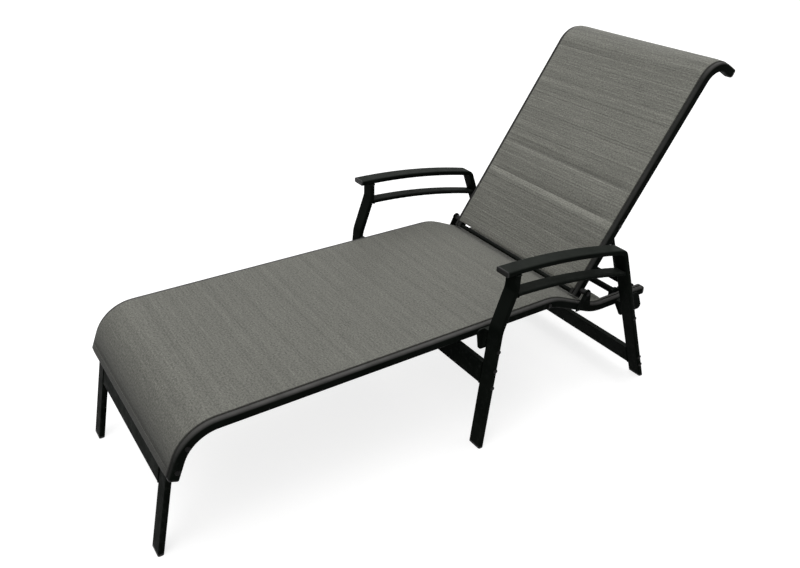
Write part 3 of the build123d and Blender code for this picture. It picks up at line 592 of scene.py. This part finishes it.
def rippleAt(sling, distance, nearEnd, x):
    place = Vector((x * sling["rippleAcross"], distance * sling["rippleAlong"], sling["seed"]))
    crown = smooth(0.0, sling["fullAfter"], nearEnd)
    return sling["ripple"] * noise.noise(place) * bodyAt(sling, x) * crown


def makeSling(sling, route):
    length = routeLength(route)
    tops, lows = slingColumns(sling)
    ring = len(tops) + len(lows)
    stations = slingStations(sling, length)
    middle = (sling["over"] + sling["under"]) / 2
    points, cuts = [], []
    for distance in stations:
        nearEnd = min(distance, length - distance)
        # both faces close round the end of the sheet
        closing = 1.0 - min(1.0, nearEnd / sling["noseLength"])
        nose = sqrt(max(0.0, 1.0 - closing ** 2))
        for index, (x, rise) in enumerate(tops + lows):
            height = rise
            if abs(x) < sling["grooveX"] - sling["innerInset"]:
                if index < len(tops):
                    lift = topLift(sling, distance, nearEnd, x)
                    lift += rippleAt(sling, distance, nearEnd, x)
                else:
                    dip = channelForm["undersideShare"] * channelDip(sling, distance, x)
                    lift = sagAt(sling, nearEnd, x) - dip
                height = middle + (rise + lift - middle) * nose
            points.append(onSheet(route, distance, x, height))
            cuts.append((x, distance))
    faces = []
    for row in range(len(stations) - 1):
        a, b = row * ring, (row + 1) * ring
        for i in range(ring):
            j = (i + 1) % ring
            faces.append((a + i, a + j, b + j, b + i))
    # across both ends, quad by quad between the top and the underside
    for row in (0, len(stations) - 1):
        base = row * ring
        for i in range(len(lows) - 1):
            loop = (base + i, base + i + 1, base + ring - 2 - i, base + ring - 1 - i)
            faces.append(loop if row else tuple(reversed(loop)))
    piece = addMesh(sling["name"], points, faces, sling["body"], sling["cloth"])
    layer = piece.data.uv_layers.new(name="cut")
    for loop in piece.data.loops:
        layer.data[loop.index].uv = cuts[loop.vertex_index]
    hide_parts(sling["node"])
    return piece, length


# The seat's line from the foot hem: up the foot curve, level, then down behind the seat
seatLine = {
    "height": 0.343,
    "footStraight": 0.044,
    "footRadius": 0.102,
    "footTurn": 68,
    "levelStart": 0.163,
    "dropStart": 1.141,
    "dropEnd": 1.306,
    "drop": 0.070,
    "dropRadius": 0.150,
    "end": 1.345,
}
seat = {
    **slingForm,
    "name": "seatSling",
    "node": "seat_sling",
    "body": "frame",
    "cloth": seatCloth,
    "grooveX": grooveHalf["seat"],
    "columns": 44,
    "step": 0.0075,
    "hemRise": 0.0019,
    "sag": 0.0035,
    "fill": 0.0,
    "ripple": 0.0006,
    "fullAfter": 0.12,
    "channels": (),
    "seed": 3.0,
}
footTurn = radians(seatLine["footTurn"])
footReach = seatLine["footRadius"] * tan(footTurn / 2)
footCorner = spot(seatLine["levelStart"] - footReach, seatLine["height"])
footFall = Vector((cos(footTurn), sin(footTurn))) * (footReach + seatLine["footStraight"])
lowHeight = seatLine["height"] - seatLine["drop"]
seatRoute = cornerRoute(
    [
        footCorner - footFall, footCorner, spot(seatLine["dropStart"], seatLine["height"]),
        spot(seatLine["dropEnd"], lowHeight), spot(seatLine["end"], lowHeight),
    ],
    [seatLine["footRadius"], seatLine["dropRadius"], seatLine["dropRadius"]],
)
seatSling, seatLength = makeSling(seat, seatRoute)

# The back's line: straight up from just below the hinge, then the scroll at the top
backLine = {
    "lean": 55.8,
    "hinge": (1.260, 0.339),
    "belowHinge": 0.005,
    "straight": 0.664,
    "scrollRadius": 0.068,
    "scrollTurn": 84.8,
    "tail": 0.028,
}
back = {
    **slingForm,
    "name": "backSling",
    "node": "back_sling",
    "body": "back",
    "cloth": backCloth,
    "grooveX": grooveHalf["back"],
    "columns": 56,
    "step": 0.007,
    "hemRise": 0.0018,
    "sag": 0.0012,
    "fill": 0.0022,
    "ripple": 0.0007,
    "fullAfter": 0.10,
    "channels": (0.2135, 0.3115),
    "seed": 8.0,
}
lean = radians(backLine["lean"])
upBack = Vector((cos(lean), sin(lean)))
hinge = spot(*backLine["hinge"])
backFoot = hinge - upBack * backLine["belowHinge"]
scrollStart = hinge + upBack * backLine["straight"]
scroll = arcRun(scrollStart, upBack, backLine["scrollRadius"], -radians(backLine["scrollTurn"]))
tailStart, tailHeading = placeOn([scroll], scroll["length"])
tail = lineRun(tailStart, tailStart + tailHeading * backLine["tail"])
backRoute = [lineRun(backFoot, scrollStart), scroll, tail]
backSling, backLength = makeSling(back, backRoute)
print("slings made:", len(seatSling.data.vertices) + len(backSling.data.vertices), "points")

# Stitches: rows of short threads along the hems and channels

stitch = {
    "pitch": 0.0042,
    "length": 0.0034,
    "radius": 0.00042,
    "sides": 6,
    # places along a thread and its thickness there, as shares of its length and radius
    "profileShares": ((-0.5, 0.25), (-0.36, 0.9), (0.0, 1.1), (0.36, 0.9), (0.5, 0.25)),
    "endSink": 0.98,
    "stand": 0.4,
    "fromHem": 0.004,
    "fromRail": 0.012,
    "channelInset": 0.02,
}


def stitchRow(points, faces, sling, route, length, distance, halfWidth):
    radius, sides, profile = stitch["radius"], stitch["sides"], stitch["profileShares"]
    nearEnd = min(distance, length - distance)
    for i in range(int(2 * halfWidth / stitch["pitch"])):
        middleX = -halfWidth + (i + 0.5) * stitch["pitch"]
        start = len(points)
        for share, thick in profile:
            x = middleX + share * stitch["length"]
            rise = sling["over"] + topLift(sling, distance, nearEnd, x)
            rise += radius * (stitch["stand"] - stitch["endSink"] * (2 * share) ** 2)
            for k in range(sides):
                angle = 2 * pi * k / sides
                along = distance + radius * thick * cos(angle)
                points.append(onSheet(route, along, x, rise + radius * thick * sin(angle)))
        for band in range(len(profile) - 1):
            a = start + band * sides
            for k in range(sides):
                j = (k + 1) % sides
                faces.append((a + k, a + j, a + sides + j, a + sides + k))
        lastRing = start + (len(profile) - 1) * sides
        faces.append(tuple(start + k for k in reversed(range(sides))))
        faces.append(tuple(lastRing + k for k in range(sides)))


def sewSling(sling, route, length, name):
    points, faces = [], []
    halfWidth = sling["grooveX"] - stitch["fromRail"]
    fromEnd = sling["hem"] - stitch["fromHem"]
    for distance in (fromEnd, length - fromEnd):
        stitchRow(points, faces, sling, route, length, distance, halfWidth)
    for reach in sling["channels"]:
        stitchRow(points, faces, sling, route, length, reach, halfWidth - stitch["channelInset"])
    threads = addMesh(name, points, faces, sling["body"], stitchMaterial)


sewSling(seat, seatRoute, seatLength, "seatHemStitches")
sewSling(back, backRoute, backLength, "backSlingStitches")
print("stitches sewn")

# Weld beads where the tubes meet, all round each joint

bead = {
    "radius": 0.0019,
    "ripple": 0.16,
    "rippleLength": 0.0042,
    "step": 0.0014,
    "sides": 8,
    "cornerSteps": 6,
}
armX = 0.3425
# stretchers and the foot bar end on the inner faces of the legs, which lean by these degrees
legWelds = [
    {"x": 0.320, "setback": 0.861, "lean": 5.5, "height": 0.2215},
    {"x": 0.320, "setback": 1.502, "lean": -20.4, "height": 0.066},
    {"x": 0.2194, "setback": 0.006, "lean": 11.9, "height": 0.206},
]
barEnd = {"halves": (0.0075, 0.033), "corner": 0.003}
# the lower arm rail ends on the post, and the post under the armrest
armWelds = [
    {"setback": 0.9438, "height": 0.4553, "along": (0, 0, 1), "halves": (0.019, 0.006), "corner": 0.004},
    {"setback": 0.936, "height": 0.5151, "along": (0, 1, 0), "halves": (0.0225, 0.0076),
     "corner": 0.0045},
]


def roundedOutline(halfA, halfB, corner):
    # rounded rectangle, with points a short step apart
    steps = bead["cornerSteps"]
    outline = []
    for signA, signB, start in ((1, 1, 0), (-1, 1, 90), (-1, -1, 180), (1, -1, 270)):
        for k in range(steps + 1):
            angle = radians(start + 90 * k / steps)
            a = signA * (halfA - corner) + corner * cos(angle)
            outline.append((a, signB * (halfB - corner) + corner * sin(angle)))
    dense = []
    for i, (a, b) in enumerate(outline):
        nextA, nextB = outline[(i + 1) % len(outline)]
        gap = sqrt((nextA - a) ** 2 + (nextB - b) ** 2)
        pieces = max(1, round(gap / bead["step"]))
        dense += [(a + (nextA - a) * k / pieces, b + (nextB - b) * k / pieces) for k in range(pieces)]
    return dense


def beadLoop(points, faces, centre, sideA, sideB, outline):
    normal = sideA.cross(sideB).normalized()
    start, gone, count, sides = len(points), 0.0, len(outline), bead["sides"]
    for i, (a, b) in enumerate(outline):
        ahead, behind = outline[(i + 1) % count], outline[i - 1]
        heading = (sideA * (ahead[0] - behind[0]) + sideB * (ahead[1] - behind[1])).normalized()
        outward = heading.cross(normal).normalized()
        gone += sqrt((ahead[0] - a) ** 2 + (ahead[1] - b) ** 2)
        swell = 1.0 + bead["ripple"] * sin(2 * pi * gone / bead["rippleLength"])
        for k in range(sides):
            angle = 2 * pi * k / sides
            around = (outward * cos(angle) + normal * sin(angle)) * bead["radius"] * swell
            points.append(centre + sideA * a + sideB * b + around)
    for i in range(count):
        a, b = start + i * sides, start + ((i + 1) % count) * sides
        for k in range(sides):
            j = (k + 1) % sides
            faces.append((a + k, a + j, b + j, b + k))


beadPoints, beadFaces = [], []
for side in (1, -1):
    for joint in legWelds:
        tilt = radians(joint["lean"])
        setback = joint["setback"] + tan(tilt) * joint["height"]
        centre = Vector((side * joint["x"], *spot(setback, joint["height"])))
        legUp, legBack = Vector((0, sin(tilt), cos(tilt))), Vector((0, cos(tilt), -sin(tilt)))
        outline = roundedOutline(*barEnd["halves"], barEnd["corner"])
        beadLoop(beadPoints, beadFaces, centre, legBack, legUp, outline)
    for joint in armWelds:
        centre = Vector((side * armX, *spot(joint["setback"], joint["height"])))
        outline = roundedOutline(*joint["halves"], joint["corner"])
        beadLoop(beadPoints, beadFaces, centre, Vector((1, 0, 0)), Vector(joint["along"]), outline)
weldBeads = addMesh("weldBeads", beadPoints, beadFaces, "frame", coatMaterial)
print("welds laid:", 2 * (len(legWelds) + len(armWelds)))

# Floor, light and camera

floorLook = {"colour": (0.48, 0.48, 0.48), "glow": 0.74, "half": 30.0}


def seenPlainly(tree):
    # 1 where the eye meets it directly, in a gloss or through glass, and 0 where it only lights
    paths = addNode(tree, "ShaderNodeLightPath").outputs
    direct = mathNode(tree, "MAXIMUM", paths["Is Camera Ray"], paths["Is Glossy Ray"])
    return mathNode(tree, "MAXIMUM", direct, paths["Is Transmission Ray"])


def paleFloor():
    material = bpy.data.materials.new("paleFloor")
    material.use_nodes = True
    tree = material.node_tree
    tree.nodes.clear()
    diffuse = addNode(tree, "ShaderNodeBsdfDiffuse")
    diffuse.inputs["Color"].default_value = (*floorLook["colour"], 1.0)
    glow = addNode(tree, "ShaderNodeEmission")
    strength = mathNode(tree, "MULTIPLY", seenPlainly(tree), floorLook["glow"])
    tree.links.new(strength, glow.inputs["Strength"])
    both = addNode(tree, "ShaderNodeAddShader")
    tree.links.new(diffuse.outputs[0], both.inputs[0])
    tree.links.new(glow.outputs[0], both.inputs[1])
    out = addNode(tree, "ShaderNodeOutputMaterial")
    tree.links.new(both.outputs[0], out.inputs["Surface"])
    return material


floorHalf = floorLook["half"]
floorCorners = [(a * floorHalf, b * floorHalf, 0) for a, b in ((-1, -1), (1, -1), (1, 1), (-1, 1))]
floorMesh = bpy.data.meshes.new("studioFloor")
floorMesh.from_pydata(floorCorners, [], [(0, 1, 2, 3)])
floorMesh.materials.append(paleFloor())
studioFloor = bpy.data.objects.new("studioFloor", floorMesh)
bpy.context.collection.objects.link(studioFloor)

lights = {
    "ambient": 0.42,
    "suns": [
        {"name": "overheadSoft", "from": (-0.15, 0.10, 1.0), "strength": 1.10, "spread": 60},
        {"name": "frontSoft", "from": (0.35, -0.75, 0.75), "strength": 0.80, "spread": 45},
        {"name": "farSoft", "from": (-0.75, 0.55, 0.60), "strength": 0.45, "spread": 30},
    ],
}
world = bpy.data.worlds.new("paleRoom")
bpy.context.scene.world = world
world.use_nodes = True
roomTree = world.node_tree
roomLight = rangeNode(roomTree, seenPlainly(roomTree), (0.0, 1.0), (lights["ambient"], 1.0))
room = roomTree.nodes["Background"]
roomTree.links.new(roomLight, room.inputs["Strength"])
room.inputs["Color"].default_value = (1.0, 1.0, 1.0, 1.0)

for sun in lights["suns"]:
    lamp = bpy.data.lights.new(sun["name"], "SUN")
    lamp.energy = sun["strength"]
    lamp.angle = radians(sun["spread"])
    holder = bpy.data.objects.new(sun["name"], lamp)
    holder.rotation_euler = Vector(sun["from"]).to_track_quat("Z", "Y").to_euler()
    bpy.context.collection.objects.link(holder)

shot = {
    "place": (1.60653, -0.26599 + footEnd, 1.43701),
    "turn": 55.744,
    "tilt": 29.231,
    "roll": 1.463,
    "lens": 35.406,
    "sensor": 36.0,
    "clipEnd": 100.0,
}
cameraData = bpy.data.cameras.new("photoCamera")
cameraData.sensor_width = shot["sensor"]
cameraData.sensor_fit = "HORIZONTAL"
cameraData.lens = shot["lens"]
cameraData.clip_end = shot["clipEnd"]
photoCamera = bpy.data.objects.new("photoCamera", cameraData)
turn, tilt, roll = (radians(shot[key]) for key in ("turn", "tilt", "roll"))
ahead = Vector((-sin(turn) * cos(tilt), cos(turn) * cos(tilt), -sin(tilt)))
level = Vector((cos(turn), sin(turn), 0))
above = level.cross(ahead)
rightward = level * cos(roll) + above * sin(roll)
upward = above * cos(roll) - level * sin(roll)
facing = Matrix((rightward, upward, -ahead)).transposed()
photoCamera.matrix_world = Matrix.Translation(Vector(shot["place"])) @ facing.to_4x4()
bpy.context.collection.objects.link(photoCamera)
bpy.context.scene.camera = photoCamera
bpy.context.scene.view_settings.view_transform = "Standard"
print("floor, light and camera set")
